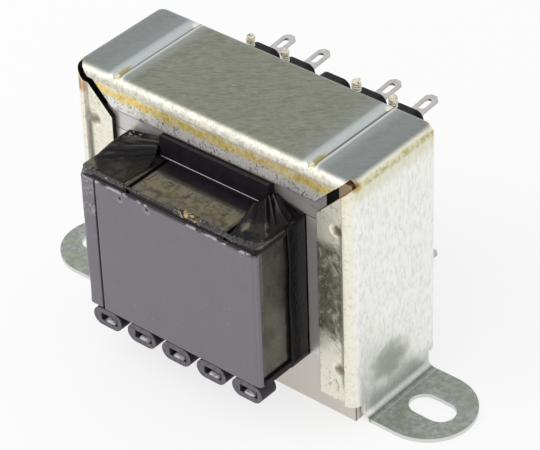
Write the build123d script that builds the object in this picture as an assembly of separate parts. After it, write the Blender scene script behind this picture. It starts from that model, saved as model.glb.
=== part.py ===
from build123d import *
import os

# Chassis mount mains transformer: an E and I core in a folded steel clamp with two slotted feet,
# and a moulded bobbin that carries the windings and three rows of solder tag pockets.
# Frame: origin midway between the foot slots on the mounting plane, +X along the feet,
# +Y to the back where the tags point, +Z up. Millimetres.

# Laminated core
CENTRE_LEG = 22.0
OUTER_LEG = 11.0
YOKE = 11.0
WINDOW_WIDTH = 11.0
WINDOW_HEIGHT = 33.0
LAMINATION = 0.5
SHEETS_IN_BUNDLE = 5
BUNDLES = 9

# Folded clamp
SHEET = 1.0
SIDE_GAP = 0.25
FACE_GAP = 0.65
TOP_GAP = 0.7
BEND = 1.4
LIP_MARGIN = 0.1
SIDE_FLANGE = 9.0
TOP_FLANGE = 8.05
FLANGE_END = 4.2
MITRE_GAP = 1.8
MITRE_DEPTH = 3.4
MITRE_LENGTH = 42.0
MITRE_CLEARANCE = 0.05
CORNER_CLEARANCE = 0.1
GROOVE_SPACING = 47.6
GROOVE_WIDTH = 2.6
GROOVE_DEPTH = 0.9
RIDGE_WIDTH = 1.8
DIMPLE_DIAMETER = 3.0
DIMPLE_DEPTH = 0.5
DIMPLE_INSET = 4.5
DIMPLE_HEIGHTS = (12.1, 44.3)

# Feet
FOOT_REACH = 17.15
FOOT_WIDTH = 19.8
FOOT_BEND = 1.5
SLOT_SPACING = 85.6
SLOT_WIDTH = 6.3
SLOT_LENGTH = 10.0

# Bobbin
BORE_CLEARANCE = 0.2
WINDOW_CLEARANCE = 0.1
TUBE_WALL = 1.2
CHEEK = 1.3
CHEEK_CORNER = 1.2
COIL_REACH = 14.25
BARRIER = (-12.0, 14.7)
BARRIER_THICKNESS = 1.8
BARRIER_CLEARANCE = 0.3
BARRIER_TO_FLANGE = 0.2
WIRE_SLIT = 0.9
WIRE_SLITS = (-9.9, 14.2)
FRONT_SHEET = 0.5

# Tag pockets
POCKETS = 5
POCKET_PITCH = 8.9
POCKET_WIDTH = 7.3
ROW_OFFSET = 0.42
FRONT_POCKET_HEIGHT = 4.1
FRONT_POCKET_DEPTH = 4.3
BACK_POCKET_HEIGHT = 3.6
BACK_POCKET_DEPTH = 2.6
BACK_POCKET_INSET = 1.1
POCKET_SINK = 0.2
POCKET_SLOT_WIDTH = 4.3
POCKET_SLOT_HEIGHT = 1.7
POCKET_SLOT_OFFSET = 0.45
LEAD_HOLE = 1.0

# Solder tags, in the pockets counted from the left as seen from the front
TAGGED_POCKETS = (1, 2, 4, 5)
TAG_THICKNESS = 0.5
TAG_WIDTH = 3.0
TAG_OFFSET = 0.4
TAG_REACH = 7.1
TAG_TILT = 5.0
TAG_CORNER = 0.9
TAG_FIT = 0.1
TAIL_REACH = 0.3
EYE_WIDTH = 1.5
EYE_LENGTH = 3.4
EYE_SETBACK = 1.3
POST_WIDTH = 0.9
POST_OFFSET = -1.4
POST_SETBACK = 0.8
POST_HEIGHT = 5.7
BARB_LENGTH = 1.0
BARB_WIDTH = 1.6

# Windings and insulation
PRIMARY_BUILD_X = 4.2
PRIMARY_BUILD_Y = 5.6
PAPER = 0.3
WRAP = 0.8
WINDING_GAP = 0.2
WINDING_CORNER = 1.5
SEAM_INSET = 2.4
SEAM_WIDTH = 0.7
SEAM_HEIGHT = 17.0
SEAM_DEPTH = 0.5
FILM = 0.4
FILM_RISE = 2.4

# Lead ends wound on the tag posts
WIRE = 0.5
WIRE_SINK = 0.08
WIND_HEIGHT = 3.3
WIND_WIDTH = 2.1
WIND_DEPTH = 1.9
WIND_CORNER = 0.5
WIND_TO_TOP = 0.2
FIT = 0.03

core_width = CENTRE_LEG + 2 * (WINDOW_WIDTH + OUTER_LEG)
core_height = WINDOW_HEIGHT + 2 * YOKE
bundle = LAMINATION * SHEETS_IN_BUNDLE
stack = bundle * BUNDLES
window_top = YOKE + WINDOW_HEIGHT
window_middle = YOKE + WINDOW_HEIGHT / 2
window_edge = CENTRE_LEG / 2 + WINDOW_WIDTH

clamp_x = core_width / 2 + SIDE_GAP + SHEET
clamp_y = stack / 2 + FACE_GAP + SHEET
clamp_top = core_height + TOP_GAP + SHEET
outer_bend = BEND + SHEET
top_flange_edge = clamp_top - TOP_FLANGE

bobbin_bottom = YOKE + BORE_CLEARANCE
bobbin_top = window_top - BORE_CLEARANCE
cheek_x = window_edge - WINDOW_CLEARANCE
coil_y = stack / 2 + COIL_REACH
tube_x = CENTRE_LEG / 2 + BORE_CLEARANCE + TUBE_WALL
tube_y = stack / 2 + BORE_CLEARANCE + TUBE_WALL
winding_bottom = bobbin_bottom + CHEEK + WINDING_GAP
winding_top = bobbin_top - CHEEK - WINDING_GAP
barrier_face = stack / 2 + BARRIER_CLEARANCE
barrier_front = barrier_face + BARRIER_THICKNESS
primary_x = tube_x + PRIMARY_BUILD_X
primary_y = tube_y + PRIMARY_BUILD_Y
secondary_x = cheek_x - WRAP
secondary_y = coil_y - WRAP

back_face = coil_y - BACK_POCKET_INSET
back_pocket_front = back_face - BACK_POCKET_DEPTH
tag_z = bobbin_top - POCKET_SINK + BACK_POCKET_HEIGHT / 2
post_y = back_pocket_front - POST_SETBACK
lead_y = post_y - (WIND_DEPTH - WIRE) / 2 + WIRE_SINK


def block(x, y, z):
    """A box between two values on each axis."""
    size = Box(x[1] - x[0], y[1] - y[0], z[1] - z[0])
    return Pos((x[0] + x[1]) / 2, (y[0] + y[1]) / 2, (z[0] + z[1]) / 2) * size


def front_plate(points, y_from, y_to):
    """A closed outline in X and Z, carried along Y."""
    face = make_face(Polyline([(x, z) for x, z in points], close=True))
    return extrude(Plane.XZ.offset(-y_to) * face, y_to - y_from)


# Core: bundles of sheets laid in turn with their E legs up and down
def e_outline():
    outline = Rectangle(core_width, core_height - YOKE, align=(Align.CENTER, Align.MIN))
    window = Rectangle(WINDOW_WIDTH, WINDOW_HEIGHT, align=(Align.CENTER, Align.MIN))
    place = (CENTRE_LEG + WINDOW_WIDTH) / 2
    return outline - Pos(-place, YOKE) * window - Pos(place, YOKE) * window


def i_outline():
    return Pos(0, core_height - YOKE) * Rectangle(core_width, YOKE, align=(Align.CENTER, Align.MIN))


def core_stack(outline, turned, first):
    sheets = []
    for index in range(first, BUNDLES, 2):
        y_front = -stack / 2 + index * bundle
        flat = extrude(Plane.XZ * outline, -bundle)
        if turned:
            flat = Pos(0, 0, core_height) * mirror(flat, Plane.XY)
        sheets.append(Pos(0, y_front) * flat)
    return Compound(children=sheets)


# Clamp: one sheet folded over the top and both sides, with lips on the front and back
def rounded_case(half_x, half_y, top, radius):
    case = block((-half_x, half_x), (-half_y, half_y), (FLANGE_END, top))
    lowest = case.edges().group_by(Axis.Z)[0]
    bent = [edge for edge in case.edges() if edge not in lowest]
    return fillet(bent, radius)


def lip_pad(side, face_y):
    """The step that brings a lip from the bend down onto the core."""
    wide_x = clamp_x - outer_bend - LIP_MARGIN
    wide_top = clamp_top - outer_bend - LIP_MARGIN
    faces = []
    for step in (0, FACE_GAP):
        half_x = wide_x - step
        height = wide_top - step
        outline = Pos(0, height / 2) * Rectangle(2 * half_x, height)
        faces.append(Plane.XZ.offset(-side * (face_y - step)) * outline)
    return loft(faces)


def mitre_slot(side_x, side_y):
    """Open corner at 45 degrees between the top lip and a side lip; at the back it stops short of the bend."""
    reach = outer_bend if side_y < 0 else SHEET + MITRE_CLEARANCE
    slot = Rot(0, -45 * side_x, 0) * Box(MITRE_LENGTH, MITRE_DEPTH, MITRE_GAP)
    return Pos(side_x * clamp_x, side_y * (clamp_y - reach + MITRE_DEPTH / 2), clamp_top) * slot


def foot(side):
    """Bottom of one side: the sheet bends out into a slotted round-ended foot."""
    inner = clamp_x - SHEET
    tip = clamp_x + FOOT_REACH
    heel = clamp_x + FOOT_BEND
    section = Polyline(
        (inner, SHEET + FOOT_BEND), (inner, FLANGE_END), (clamp_x, FLANGE_END), (clamp_x, SHEET + FOOT_BEND)
    )
    section += RadiusArc((clamp_x, SHEET + FOOT_BEND), (heel, SHEET), -FOOT_BEND)
    section += Polyline((heel, SHEET), (tip, SHEET), (tip, 0), (heel, 0))
    section += RadiusArc((heel, 0), (inner, SHEET + FOOT_BEND), FOOT_BEND + SHEET)
    strip = extrude(Plane.XZ * make_face(section), FOOT_WIDTH / 2, both=True)
    round_x = tip - FOOT_WIDTH / 2
    plan = Pos((inner + round_x) / 2, 0) * Rectangle(round_x - inner, FOOT_WIDTH)
    plan += Pos(round_x, 0) * Circle(FOOT_WIDTH / 2)
    plan -= Pos(SLOT_SPACING / 2, 0) * SlotOverall(SLOT_LENGTH, SLOT_WIDTH)
    strip &= extrude(plan, FLANGE_END)
    return strip if side > 0 else mirror(strip, Plane.YZ)


def corner_relief():
    """Room for the core's sharp corners inside the clamp's round ones."""
    half_x = core_width / 2 + CORNER_CLEARANCE
    half_y = stack / 2 + CORNER_CLEARANCE
    return block((-half_x, half_x), (-half_y, half_y), (0, core_height + CORNER_CLEARANCE))


def clamp_frame():
    frame = rounded_case(clamp_x, clamp_y, clamp_top, outer_bend)
    frame -= rounded_case(clamp_x - SHEET, clamp_y - SHEET, clamp_top - SHEET, BEND)
    frame -= corner_relief()
    for side in (-1, 1):
        frame -= lip_pad(side, clamp_y)
        frame += lip_pad(side, clamp_y - SHEET)
    lip_x = clamp_x - SIDE_FLANGE
    frame -= block((-lip_x, lip_x), (-clamp_y, clamp_y), (0, top_flange_edge))
    frame -= block((-clamp_x, clamp_x), (-clamp_y, clamp_y), (0, FLANGE_END))
    inner_top = clamp_top - SHEET
    for side in (-1, 1):
        x = side * GROOVE_SPACING / 2
        half = GROOVE_WIDTH / 2
        groove = [(x - half, clamp_top), (x + half, clamp_top), (x, clamp_top - GROOVE_DEPTH)]
        frame -= front_plate(groove, -clamp_y, clamp_y)
        half = RIDGE_WIDTH / 2
        ridge = [(x - half, inner_top), (x + half, inner_top), (x, inner_top - TOP_GAP)]
        frame += front_plate(ridge, -stack / 2, stack / 2)
        for side_y in (-1, 1):
            frame -= mitre_slot(side, side_y)
            for height in DIMPLE_HEIGHTS:
                frame -= dimple(side * (clamp_x - DIMPLE_INSET), side_y * (clamp_y - FACE_GAP), height)
        frame += foot(side)
    return frame


def dimple(x, y, z):
    rim = DIMPLE_DIAMETER / 2
    ball = (rim**2 + DIMPLE_DEPTH**2) / (2 * DIMPLE_DEPTH)
    out = 1 if y > 0 else -1
    return Pos(x, y + out * (ball - DIMPLE_DEPTH), z) * Sphere(ball)


# Bobbin: a tube between two cheeks that carry barriers against the core and the tag pockets
def pocket_x(number):
    return ROW_OFFSET + (number - (POCKETS + 1) / 2) * POCKET_PITCH


def upper_pocket(number, face_y, height, depth):
    """A tag pocket on the top cheek, open to the back."""
    face = SlotOverall(POCKET_WIDTH, height)
    face -= Pos(POCKET_SLOT_OFFSET, 0) * Rectangle(POCKET_SLOT_WIDTH, POCKET_SLOT_HEIGHT)
    middle = bobbin_top - POCKET_SINK + height / 2
    return Pos(pocket_x(number), face_y, middle) * extrude(Plane.XZ * face, depth)


def lead_hole(number):
    """Hole in the cheek where a lead comes up beside its tag's post."""
    half = LEAD_HOLE / 2
    x = post_x(number)
    return block((x - half, x + half), (lead_y - half, lead_y + half), (bobbin_top - CHEEK, bobbin_top))


def post_x(number):
    return pocket_x(number) + POCKET_SLOT_OFFSET + POST_OFFSET


def cheek(front_setback):
    """The top cheek with its barriers and the back row of pockets."""
    face = Rectangle(2 * cheek_x, 2 * coil_y - front_setback)
    plate = Pos(0, front_setback / 2, bobbin_top - CHEEK) * extrude(face, CHEEK)
    body = fillet(plate.edges().filter_by(Axis.Z), CHEEK_CORNER)
    barrier_top = top_flange_edge - BARRIER_TO_FLANGE
    barrier = block(BARRIER, (barrier_face, barrier_front), (bobbin_top - CHEEK, barrier_top))
    body += barrier + to_front(barrier)
    for number in range(1, POCKETS + 1):
        body += upper_pocket(number, back_face, BACK_POCKET_HEIGHT, BACK_POCKET_DEPTH)
        if number in TAGGED_POCKETS:
            body -= lead_hole(number)
    bore_x = CENTRE_LEG / 2 + BORE_CLEARANCE
    bore_y = stack / 2 + BORE_CLEARANCE
    return body - block((-bore_x, bore_x), (-bore_y, bore_y), (bobbin_top - CHEEK, bobbin_top))


def to_bottom(shape):
    return mirror(shape, Plane.XY.offset(window_middle))


def to_front(shape):
    return mirror(shape, Plane.XZ)


def bobbin_top_cheek():
    body = cheek(FRONT_SHEET)
    for x in WIRE_SLITS:
        slit_x = (x - WIRE_SLIT / 2, x + WIRE_SLIT / 2)
        body -= block(slit_x, (-coil_y, -barrier_front), (bobbin_top - CHEEK, bobbin_top))
    return body


def bobbin_bottom_cheek():
    body = cheek(WRAP + FIT)
    for number in range(1, POCKETS + 1):
        body += to_front(upper_pocket(number, coil_y, FRONT_POCKET_HEIGHT, FRONT_POCKET_DEPTH))
    return to_bottom(body)


def bobbin_tube():
    outside = Rectangle(2 * tube_x, 2 * tube_y)
    bore = Rectangle(2 * (tube_x - TUBE_WALL), 2 * (tube_y - TUBE_WALL))
    height = bobbin_top - bobbin_bottom - 2 * CHEEK
    return Pos(0, 0, bobbin_bottom + CHEEK) * extrude(outside - bore, height)


# Windings: rings round the tube, each filling the space up to the next
def primary_winding():
    tube_hole = Rectangle(2 * tube_x, 2 * tube_y)
    outer = RectangleRounded(2 * primary_x, 2 * primary_y, WINDING_CORNER)
    return Pos(0, 0, winding_bottom) * extrude(outer - tube_hole, winding_top - winding_bottom)


def paper_ring():
    return hug(primary_x, primary_y, PAPER)


def hug(inner_x, inner_y, thickness):
    """A ring whose inside follows a winding's rounded outside."""
    corner = WINDING_CORNER
    outer = RectangleRounded(2 * (inner_x + thickness), 2 * (inner_y + thickness), corner + thickness)
    inner = RectangleRounded(2 * inner_x, 2 * inner_y, corner)
    return Pos(0, 0, winding_bottom) * extrude(outer - inner, winding_top - winding_bottom)


def secondary_winding():
    corner = WINDING_CORNER
    outer = RectangleRounded(2 * secondary_x, 2 * secondary_y, corner)
    inner = RectangleRounded(2 * (primary_x + PAPER), 2 * (primary_y + PAPER), corner + PAPER)
    return Pos(0, 0, winding_bottom) * extrude(outer - inner, winding_top - winding_bottom)


def outer_wrap():
    wrap = hug(secondary_x, secondary_y, WRAP)
    apron_x = secondary_x - WINDING_CORNER
    wrap += block((-apron_x, apron_x), (-coil_y, -secondary_y), (bobbin_bottom + POCKET_SINK, winding_bottom))
    seam = -cheek_x + SEAM_INSET
    wedge = [(seam, bobbin_bottom), (seam + SEAM_WIDTH, bobbin_bottom), (seam, bobbin_bottom + SEAM_HEIGHT)]
    return wrap - front_plate(wedge, -coil_y, -coil_y + SEAM_DEPTH)


def corner_film(side):
    """Insulation film folded up against the core, beside the front barrier."""
    inner_edge = BARRIER[0] - BARRIER_CLEARANCE if side < 0 else BARRIER[1] + BARRIER_CLEARANCE
    outer_edge = side * (cheek_x - CHEEK_CORNER)
    back = -barrier_face
    front = -(coil_y - WRAP)
    base = bobbin_top + FIT
    section = [(front, base), (front, base + FILM), (back, base + FILM + FILM_RISE), (back, base + FILM_RISE)]
    face = make_face(Polyline(section, close=True))
    width = abs(outer_edge - inner_edge)
    return Pos(min(inner_edge, outer_edge), 0, 0) * extrude(Plane.YZ * face, width)


# Tags and the leads wound on them
def upper_tag(number):
    """A flat blade through its pocket, a tilted eye behind it and a post bent up in front."""
    slot_x = pocket_x(number) + POCKET_SLOT_OFFSET
    low = tag_z - TAG_THICKNESS / 2
    tail_y = back_pocket_front - TAIL_REACH
    blade_width = POCKET_SLOT_WIDTH - 2 * TAG_FIT
    blade = Pos(slot_x, (tail_y + back_face) / 2, low) * Rectangle(blade_width, back_face - tail_y)
    half_width = POST_WIDTH / 2
    half = TAG_THICKNESS / 2
    place = (post_x(number) - half_width, post_x(number) + half_width)
    arm = block(place, (post_y - half, back_pocket_front), (low, low + TAG_THICKNESS))
    post = block(place, (post_y - half, post_y + half), (low, tag_z + POST_HEIGHT))
    flat = extrude(blade, TAG_THICKNESS) + arm + post
    return flat + tag_barbs(slot_x) + Pos(slot_x + TAG_OFFSET, back_face, tag_z) * tag_lug()


def tag_lug():
    """The eye end, about the point where it leaves the pocket."""
    outline = Pos(0, TAG_REACH / 2) * Rectangle(TAG_WIDTH, TAG_REACH + 2 * TAG_FIT)
    tip = outline.vertices().group_by(Axis.Y)[-1]
    outline = chamfer(tip, TAG_CORNER)
    eye_y = TAG_REACH - EYE_SETBACK - EYE_LENGTH / 2
    outline -= Pos(0, eye_y) * Rot(0, 0, 90) * SlotOverall(EYE_LENGTH, EYE_WIDTH)
    return Rot(TAG_TILT, 0, 0) * extrude(outline, TAG_THICKNESS / 2, both=True)


def tag_barbs(slot_x):
    """Small wedges lanced from the blade that grip the roof and floor of the pocket."""
    front = back_face - BARB_LENGTH
    reach = POCKET_SLOT_HEIGHT / 2
    root = TAG_THICKNESS / 2 - FIT
    upper = make_face(Polyline([(front - BARB_LENGTH, root), (front, root), (front, reach)], close=True))
    lower = make_face(Polyline([(front - BARB_LENGTH, -root), (front, -root), (front, -reach)], close=True))
    wedges = extrude(Plane.YZ * upper, BARB_WIDTH / 2, both=True)
    wedges += extrude(Plane.YZ * lower, BARB_WIDTH / 2, both=True)
    return Pos(slot_x, 0, tag_z) * wedges


def upper_lead(number):
    """A lead: up through the cheek's hole and wound round the post."""
    wind_top = tag_z + POST_HEIGHT - WIND_TO_TOP
    wound = RectangleRounded(WIND_WIDTH, WIND_DEPTH, WIND_CORNER)
    wound -= Rectangle(POST_WIDTH + 2 * FIT, TAG_THICKNESS + 2 * FIT)
    coil = Pos(post_x(number), post_y, wind_top - WIND_HEIGHT) * extrude(wound, WIND_HEIGHT)
    climb = wind_top - WIND_HEIGHT / 2 - winding_top
    return coil + Pos(post_x(number), lead_y, winding_top) * extrude(Circle(WIRE / 2), climb)


parts = {
    "clamp_frame": clamp_frame(),
    "core_e_legs_up": core_stack(e_outline(), False, 0),
    "core_i_top": core_stack(i_outline(), False, 0),
    "core_e_legs_down": core_stack(e_outline(), True, 1),
    "core_i_bottom": core_stack(i_outline(), True, 1),
    "bobbin_top": bobbin_top_cheek(),
    "bobbin_bottom": bobbin_bottom_cheek(),
    "bobbin_tube": bobbin_tube(),
    "primary_winding": primary_winding(),
    "interwinding_paper": paper_ring(),
    "secondary_winding": secondary_winding(),
    "outer_wrap": outer_wrap(),
    "corner_film_left": corner_film(-1),
    "corner_film_right": corner_film(1),
}
for number in TAGGED_POCKETS:
    tag = upper_tag(number)
    lead = upper_lead(number)
    parts[f"upper_tag_{number}"] = tag
    parts[f"lower_tag_{number}"] = to_bottom(tag)
    parts[f"upper_lead_{number}"] = lead
    parts[f"lower_lead_{number}"] = to_bottom(lead)

os.makedirs("parts", exist_ok=True)
for name, shape in parts.items():
    export_step(shape, f"parts/{name}.step")
    print(name, round(shape.volume, 2))
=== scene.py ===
import math

import bmesh
import bpy
from bpy.props import FloatProperty, FloatVectorProperty, IntProperty, PointerProperty
from mathutils import Color, Matrix, Vector, noise


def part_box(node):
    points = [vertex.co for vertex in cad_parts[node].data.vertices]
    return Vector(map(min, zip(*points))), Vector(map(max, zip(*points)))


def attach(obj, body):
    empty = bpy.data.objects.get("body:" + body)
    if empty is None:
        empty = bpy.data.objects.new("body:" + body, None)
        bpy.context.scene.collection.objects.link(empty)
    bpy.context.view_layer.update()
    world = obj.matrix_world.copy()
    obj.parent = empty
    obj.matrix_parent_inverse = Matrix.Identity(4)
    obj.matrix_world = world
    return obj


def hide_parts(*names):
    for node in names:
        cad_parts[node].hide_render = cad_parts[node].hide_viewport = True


bl_info = {
    "name": "Chassis Mount Transformer",
    "version": (1, 0, 0),
    "blender": (4, 5, 0),
    "location": "View3D > Sidebar > Transformer",
    "description": "Finishes, sheets, films, leads, varnish and studio of a chassis mount transformer",
    "category": "Add Mesh",
}

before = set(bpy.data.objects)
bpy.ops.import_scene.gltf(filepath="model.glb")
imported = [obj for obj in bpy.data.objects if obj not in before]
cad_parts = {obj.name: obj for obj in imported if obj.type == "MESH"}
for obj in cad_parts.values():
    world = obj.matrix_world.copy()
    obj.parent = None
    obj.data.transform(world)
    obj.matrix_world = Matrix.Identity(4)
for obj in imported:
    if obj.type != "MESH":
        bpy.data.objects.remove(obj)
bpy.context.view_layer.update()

MM = 0.001
WHITE = (1, 1, 1, 1)
BODY = "root"
POCKETS = (1, 2, 3, 4, 5)
TAGGED_POCKETS = (1, 2, 4, 5)
MIDDLE_POCKET = 3


def box_mm(node):
    """A CAD node's low and high corners in millimetres."""
    low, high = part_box(node)
    return low / MM, high / MM


def tone(*channels):
    """A display colour, 0 to 255 a channel, as the linear colour that shaders take."""
    shares = [channel / 255 for channel in channels]
    return tuple(share / 12.92 if share <= 0.04045 else ((share + 0.055) / 1.055) ** 2.4 for share in shares)


def scaled(color, factor):
    return Color([min(channel * factor, 1.0) for channel in color])


def waver(x, y, z):
    """Smooth noise, from -1 to 1, that is the same in each run."""
    return noise.noise(Vector((x, y, z)))


def shares(count):
    """Evenly spaced shares from 0 to 1."""
    return [index / (count - 1) for index in range(count)]


# Sizes read from the frame, in millimetres
core_low, core_high = box_mm("core_e_legs_up")
clamp_high = box_mm("clamp_frame")[1]
wrap_low, wrap_high = box_mm("outer_wrap")
STACK_HALF = core_high.y
CORE_BOTTOM = core_low.z
CORE_TOP = box_mm("core_i_top")[1].z
CORE_HALF_WIDTH = core_high.x
YOKE = CORE_TOP - box_mm("core_i_top")[0].z
CLAMP_TOP = clamp_high.z
CLAMP_DEPTH = clamp_high.y
COIL_X = wrap_high.x
COIL_Y = wrap_high.y
CHEEK_TOP = box_mm("corner_film_right")[0].z
WINDOW_MIDDLE = CORE_BOTTOM + (CORE_TOP - CORE_BOTTOM) / 2
CHEEK_BOTTOM = 2 * WINDOW_MIDDLE - CHEEK_TOP
POCKET_FLOOR = box_mm("bobbin_bottom")[0].z + 1.2
BARRIER_FRONT = STACK_HALF + 2.1

# Sizes that no box gives, in millimetres
CLAMP_HALF_WIDTH = 34.25
LIP_INNER = 25.25
TOP_LIP_EDGE = 48.65
GROOVE_X = 23.8
ROW_OFFSET = 0.42
POCKET_PITCH = 8.9
NUMBER_PITCH = 4.6
BARRIER_ENDS = {"left": -12.0, "right": 14.7}
WIRE_SLITS = (-9.9, 14.2)
REFLECTION_WIDTH = 3.0
SEAM_X = -18.05
STRIP_CUT = -1.9
TAPE_CORNER = 1.4
FILM_THICKNESS = 0.06
TURNS_RADIUS = 0.95
TURNS_HEIGHT = 2.3
LUMP_PRESS = 0.3


# Settings
def number_setting(name, description, default, subtype="NONE"):
    return FloatProperty(name=name, description=description, subtype=subtype, default=default)


def length_setting(name, description, default):
    return number_setting(name, description, default, "DISTANCE")


def angle_setting(name, description, degrees):
    return number_setting(name, description, math.radians(degrees), "ANGLE")


def color_setting(name, description, *channels):
    return FloatVectorProperty(name=name, description=description, subtype="COLOR", default=tone(*channels))


class TransformerCamera(bpy.types.PropertyGroup):
    turn: angle_setting("Turn", "Direction of view about the vertical, from +Y towards -X", 41.259)
    tilt: angle_setting("Tilt", "Angle of view below the horizon", 36.36)
    roll: angle_setting("Roll", "Roll of the camera about its view", -2.173)
    distance: length_setting("Distance", "From the camera to its target", 0.5417)
    lens: number_setting("Lens", "Focal length in millimetres", 186.97)
    target: FloatVectorProperty(
        name="Target",
        description="Point that the camera looks at",
        subtype="XYZ",
        default=(0.00325, 0.0, 0.02654),
    )


class TransformerStudio(bpy.types.PropertyGroup):
    key_power: number_setting("Key light", "Power of the large front light in watts", 1.5)
    fill_power: number_setting("Fill light", "Power of the side light in watts", 0.5)
    world_strength: number_setting("World strength", "Brightness of the surroundings as a light", 0.8)
    floor_color: color_setting("Floor", "Colour of the floor", 246, 246, 246)


class TransformerClamp(bpy.types.PropertyGroup):
    # Painted shade: the top's colour is much darker than the sides', standing for its dim reflection of the
    # surroundings, over a real olive varnish tint.
    top_color: color_setting("Top", "Zinc under varnish on the top", 136, 138, 124)
    side_color: color_setting("Sides", "Clean zinc on the sides", 246, 246, 241)
    lip_color: color_setting("Lips", "Zinc on the bends and lips", 244, 240, 224)
    foot_color: color_setting("Feet", "Dull zinc on the feet", 164, 169, 164)
    stain_color: color_setting("Varnish stain", "Golden varnish in the bends", 236, 208, 118)
    rust_color: color_setting("Rust", "Rust at cut edges", 190, 128, 52)


class TransformerCore(bpy.types.PropertyGroup):
    bundle_sheets: IntProperty(
        name="Sheets in a bundle", description="Laminations laid the same way", default=5
    )
    pitch: length_setting("Pitch", "From one lamination to the next", 0.0005)
    gap: length_setting("Gap", "Space left between sheets", 0.00006)
    jitter: length_setting("Jitter", "How far sheets sit out of line", 0.00005)
    color: color_setting("Colour", "Varnished silicon steel", 222, 218, 212)


class TransformerCoil(bpy.types.PropertyGroup):
    sheet_color: color_setting("Sheet", "Front sheet round the coil", 104, 100, 108)
    tape_color: color_setting("Tape", "Olive tape on the coil's sides", 62, 59, 48)
    plastic_color: color_setting("Bobbin", "Black moulding", 30, 26, 31)
    film_color: color_setting("Film", "Dark insulation film", 22, 19, 21)
    sheet_thickness: length_setting("Sheet thickness", "Of the front sheet", 0.0005)


class TransformerLeads(bpy.types.PropertyGroup):
    wire: length_setting("Wire", "Diameter of the winding wire", 0.00042)
    turns: number_setting("Turns", "Turns round each post", 4.5)
    color: color_setting("Enamel", "Cream enamel and flux", 232, 228, 206)
    tag_color: color_setting("Tags", "Tinned tags", 196, 194, 192)


class TransformerVarnish(bpy.types.PropertyGroup):
    grain: length_setting("Grain", "Size of the lumps", 0.0006)
    color: color_setting("Varnish", "Thick golden varnish", 190, 158, 98)


# Nodes
class Value:
    """A node's output, on which Python's operators add Math nodes."""

    def __init__(self, nodes, socket):
        self.nodes = nodes
        self.socket = socket

    def math(self, operation, *others):
        return self.nodes.add("ShaderNodeMath", dict(enumerate((self, *others))), operation=operation)

    def __add__(self, other):
        return self.math("ADD", other)

    __radd__ = __add__

    def __mul__(self, other):
        return self.math("MULTIPLY", other)

    __rmul__ = __mul__

    def __sub__(self, other):
        return self.math("SUBTRACT", other)

    def __rsub__(self, other):
        return self.nodes.add("ShaderNodeMath", {0: other, 1: self}, operation="SUBTRACT")

    def __truediv__(self, other):
        return self.math("DIVIDE", other)

    def __abs__(self):
        return self.math("ABSOLUTE")

    def rise(self, low, high):
        """0 below low and 1 above high, with a smooth step between."""
        limits = {"Value": self, "From Min": low, "From Max": high}
        return self.nodes.add("ShaderNodeMapRange", limits, interpolation_type="SMOOTHSTEP")

    def fall(self, low, high):
        return 1 - self.rise(low, high)

    def between(self, low, high, soft):
        return self.rise(low - soft, low + soft) * self.fall(high - soft, high + soft)


class Nodes:
    """A node tree that is filled from Python."""

    def __init__(self, tree):
        self.tree = tree
        tree.nodes.clear()

    def add(self, kind, inputs=None, output=0, **settings):
        """Adds a node: its settings first, then the values or links of its sockets."""
        node = self.tree.nodes.new(kind)
        for key, value in settings.items():
            setattr(node, key, value)
        for key, value in (inputs or {}).items():
            if isinstance(value, Value):
                self.tree.links.new(value.socket, node.inputs[key])
            else:
                node.inputs[key].default_value = value
        return Value(self, node.outputs[output]) if len(node.outputs) else None

    def seen_directly(self):
        """1 for rays from the camera, off a shiny surface or through one."""
        first = self.add("ShaderNodeLightPath", output="Is Camera Ray")
        outputs = first.socket.node.outputs
        return first + Value(self, outputs["Is Glossy Ray"]) + Value(self, outputs["Is Transmission Ray"])


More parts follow.
